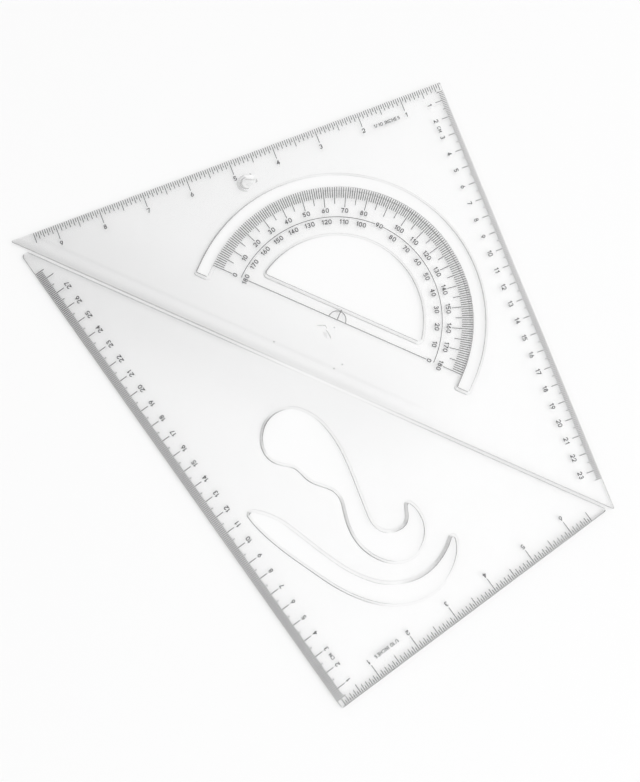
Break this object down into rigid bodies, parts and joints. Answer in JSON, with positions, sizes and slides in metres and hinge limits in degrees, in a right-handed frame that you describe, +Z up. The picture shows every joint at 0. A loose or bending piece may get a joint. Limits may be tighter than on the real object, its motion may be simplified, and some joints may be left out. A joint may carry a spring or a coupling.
{
  "type": "set square pair",
  "caption": "Pair of clear plastic set squares, 45 degree with protractor slot and 30/60 degree with French-curve cut-outs, with printed inch and centimetre scales.",
  "frame": {"origin": "centre of the pair's bounding box, on the underside that lies on the paper", "axes": "+X along both hypotenuses towards the 60 degree corner of the 30/60 square, +Y towards the right angle of the 45 degree square, +Z up out of the printed faces"},
  "size_m": [0.3576, 0.3326, 0.002],
  "materials": {
    "clear_plastic": "gloss",
    "printing_ink": "matte"
  },
  "bodies": {
    "set_square_30_60": {"set_square_30_60": "clear_plastic", "inch_ticks_60": "printing_ink", "inch_figures_60": "printing_ink", "cm_ticks_60": "printing_ink", "cm_figures_60": "printing_ink"},
    "set_square_45": {"set_square_45": "clear_plastic", "inch_ticks_45": "printing_ink", "inch_figures_45": "printing_ink", "cm_ticks_45": "printing_ink", "cm_figures_45": "printing_ink", "degree_ticks": "printing_ink", "protractor_lines": "printing_ink", "degree_figures": "printing_ink"}
  },
  "joints": [
    {"name": "hypotenuse_slide", "type": "slide", "parent": "set_square_30_60", "child": "set_square_45", "axis": [1, 0, 0], "range_m": [-0.1, 0.1]}
  ]
}
